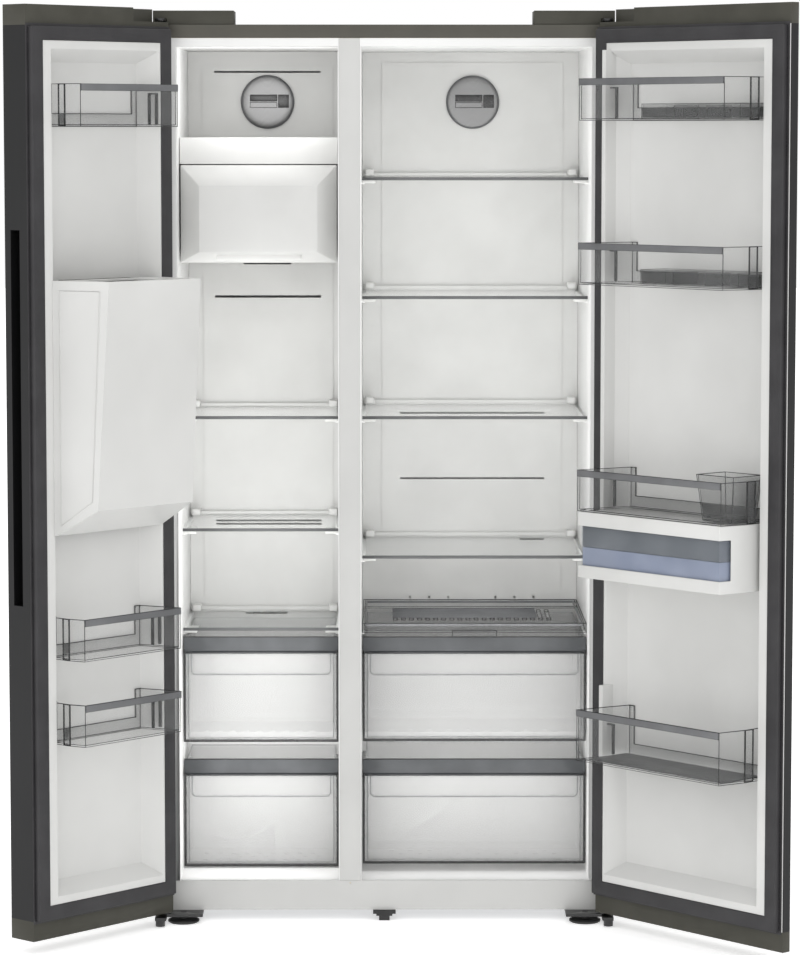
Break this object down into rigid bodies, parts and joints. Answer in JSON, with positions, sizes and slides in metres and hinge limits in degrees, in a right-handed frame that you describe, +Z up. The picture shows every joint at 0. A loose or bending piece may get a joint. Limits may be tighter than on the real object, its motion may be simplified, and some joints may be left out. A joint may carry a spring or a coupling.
{
  "type": "side by side refrigerator",
  "caption": "Side by side fridge freezer with both doors standing open, door bins, glass shelves, pull-out drawers, ice maker with chute and a water and ice dispenser.",
  "frame": {"origin": "on the floor under the middle of the cabinet's front face, at the centre foot", "axes": "+X to the right seen from the front, +Y towards the back, +Z up"},
  "size_m": [1.4693, 0.9787, 1.791],
  "materials": {
    "white_steel": "semi-gloss",
    "olive_steel": "satin",
    "black_steel": "satin",
    "zinc_steel": "satin",
    "white_plastic": "semi-gloss",
    "olive_plastic": "satin",
    "black_plastic": "satin",
    "clear_plastic": "gloss",
    "smoke_plastic": "gloss",
    "tank_plastic": "gloss",
    "glass": "gloss",
    "grey_trim": "satin",
    "steel_disc": "brushed",
    "seal_rubber": "matte",
    "foam": "matte",
    "aluminium": "satin",
    "black_coil": "satin"
  },
  "bodies": {
    "cabinet": {"outer_shell": "olive_steel", "rear_panel": "zinc_steel", "cabinet_foam": "foam", "freezer_liner": "white_plastic", "fridge_liner": "white_plastic", "mullion_cover": "white_steel", "toe_panel": "white_steel", "base_frame": "zinc_steel", "freezer_back_panel": "white_plastic", "fridge_back_panel": "white_plastic", "fan_covers": "steel_disc", "freezer_shelf_upper": "glass", "freezer_shelf_middle": "glass", "freezer_shelf_lower": "glass", "fridge_shelf_top": "glass", "fridge_shelf_upper": "glass", "fridge_shelf_middle": "glass", "fridge_shelf_lower": "glass", "shelf_trims": "grey_trim", "ice_maker": "white_plastic", "hinge_brackets": "zinc_steel", "hinge_covers": "olive_plastic", "centre_foot": "black_plastic", "compressor": "black_coil", "condenser": "black_coil", "drain_pan": "black_plastic", "control_box": "black_plastic", "machine_cover": "zinc_steel", "power_inlet": "black_plastic", "evaporator": "aluminium"},
    "left_door": {"left_door_shell": "black_steel", "left_door_foam": "foam", "left_door_caps": "olive_plastic", "left_door_liner": "white_plastic", "left_seal": "seal_rubber", "left_door_bins": "smoke_plastic", "chute_housing": "white_plastic", "dispenser_housing": "black_plastic", "drip_tray": "aluminium"},
    "right_door": {"right_door_shell": "black_steel", "right_door_foam": "foam", "right_door_caps": "olive_plastic", "right_door_liner": "white_plastic", "right_seal": "seal_rubber", "right_door_bins": "smoke_plastic", "tank_holder": "white_plastic", "water_tank": "tank_plastic"},
    "ice_bucket": {"ice_bucket": "white_plastic"},
    "freezer_drawer_upper": {"freezer_drawer_upper": "clear_plastic"},
    "freezer_drawer_lower": {"freezer_drawer_lower": "clear_plastic"},
    "fridge_drawer_upper": {"fridge_drawer_upper": "clear_plastic"},
    "fridge_drawer_lower": {"fridge_drawer_lower": "clear_plastic"},
    "chill_tray": {"chill_tray": "smoke_plastic"},
    "condenser_fan": {"condenser_fan": "black_plastic"},
    "evaporator_fan": {"evaporator_fan": "black_plastic"},
    "rear_rollers": {"rear_rollers": "black_plastic"},
    "front_foot_left": {"front_foot_left": "black_plastic"},
    "front_foot_right": {"front_foot_right": "black_plastic"},
    "dispenser_paddle": {"dispenser_paddle": "aluminium"},
    "chute_flap": {"chute_flap": "black_plastic"}
  },
  "joints": [
    {"name": "left_door_hinge", "type": "hinge", "parent": "cabinet", "child": "left_door", "pos_m": [-0.4324, -0.0332, 0.026], "axis": [0, 0, -1], "range_deg": [-132.3, 0]},
    {"name": "right_door_hinge", "type": "hinge", "parent": "cabinet", "child": "right_door", "pos_m": [0.4324, -0.0332, 0.026], "axis": [0, 0, 1], "range_deg": [-131.5, 0]},
    {"name": "freezer_drawer_upper_slide", "type": "slide", "parent": "cabinet", "child": "freezer_drawer_upper", "axis": [0, -1, 0], "range_m": [0, 0.2]},
    {"name": "freezer_drawer_lower_slide", "type": "slide", "parent": "cabinet", "child": "freezer_drawer_lower", "axis": [0, -1, 0], "range_m": [0, 0.2]},
    {"name": "fridge_drawer_upper_slide", "type": "slide", "parent": "cabinet", "child": "fridge_drawer_upper", "axis": [0, -1, 0], "range_m": [0, 0.2]},
    {"name": "fridge_drawer_lower_slide", "type": "slide", "parent": "cabinet", "child": "fridge_drawer_lower", "axis": [0, -1, 0], "range_m": [0, 0.2]},
    {"name": "chill_tray_slide", "type": "slide", "parent": "cabinet", "child": "chill_tray", "axis": [0, -1, 0], "range_m": [0, 0.2]},
    {"name": "ice_bucket_slide", "type": "slide", "parent": "cabinet", "child": "ice_bucket", "axis": [0, -1, 0], "range_m": [0, 0.25]},
    {"name": "condenser_fan_spin", "type": "hinge", "parent": "cabinet", "child": "condenser_fan", "pos_m": [-0.06, 0.452, 0.14], "axis": [1, 0, 0], "continuous": true},
    {"name": "evaporator_fan_spin", "type": "hinge", "parent": "cabinet", "child": "evaporator_fan", "pos_m": [-0.2397, 0.455, 1.6165], "axis": [0, 1, 0], "continuous": true},
    {"name": "rear_rollers_spin", "type": "hinge", "parent": "cabinet", "child": "rear_rollers", "pos_m": [0, 0.51, 0.014], "axis": [1, 0, 0], "continuous": true},
    {"name": "front_foot_left_turn", "type": "hinge", "parent": "cabinet", "child": "front_foot_left", "pos_m": [-0.3965, -0.018, 0], "axis": [0, 0, 1], "continuous": true},
    {"name": "front_foot_right_turn", "type": "hinge", "parent": "cabinet", "child": "front_foot_right", "pos_m": [0.3965, -0.018, 0], "axis": [0, 0, 1], "continuous": true},
    {"name": "dispenser_paddle_press", "type": "hinge", "parent": "left_door", "child": "dispenser_paddle", "pos_m": [-0.55731, -0.15398, 1.197], "axis": [-0.673, -0.7396, 0], "range_deg": [0, 12], "stiffness_Nm_per_rad": 0.6},
    {"name": "chute_flap_open", "type": "hinge", "parent": "left_door", "child": "chute_flap", "pos_m": [-0.53512, -0.17417, 1.249], "axis": [0.673, 0.7396, 0], "range_deg": [0, 40]}
  ],
  "couplings": [
    {"joint": "chute_flap_open", "follows": "dispenser_paddle_press", "ratio": 3.3}
  ]
}
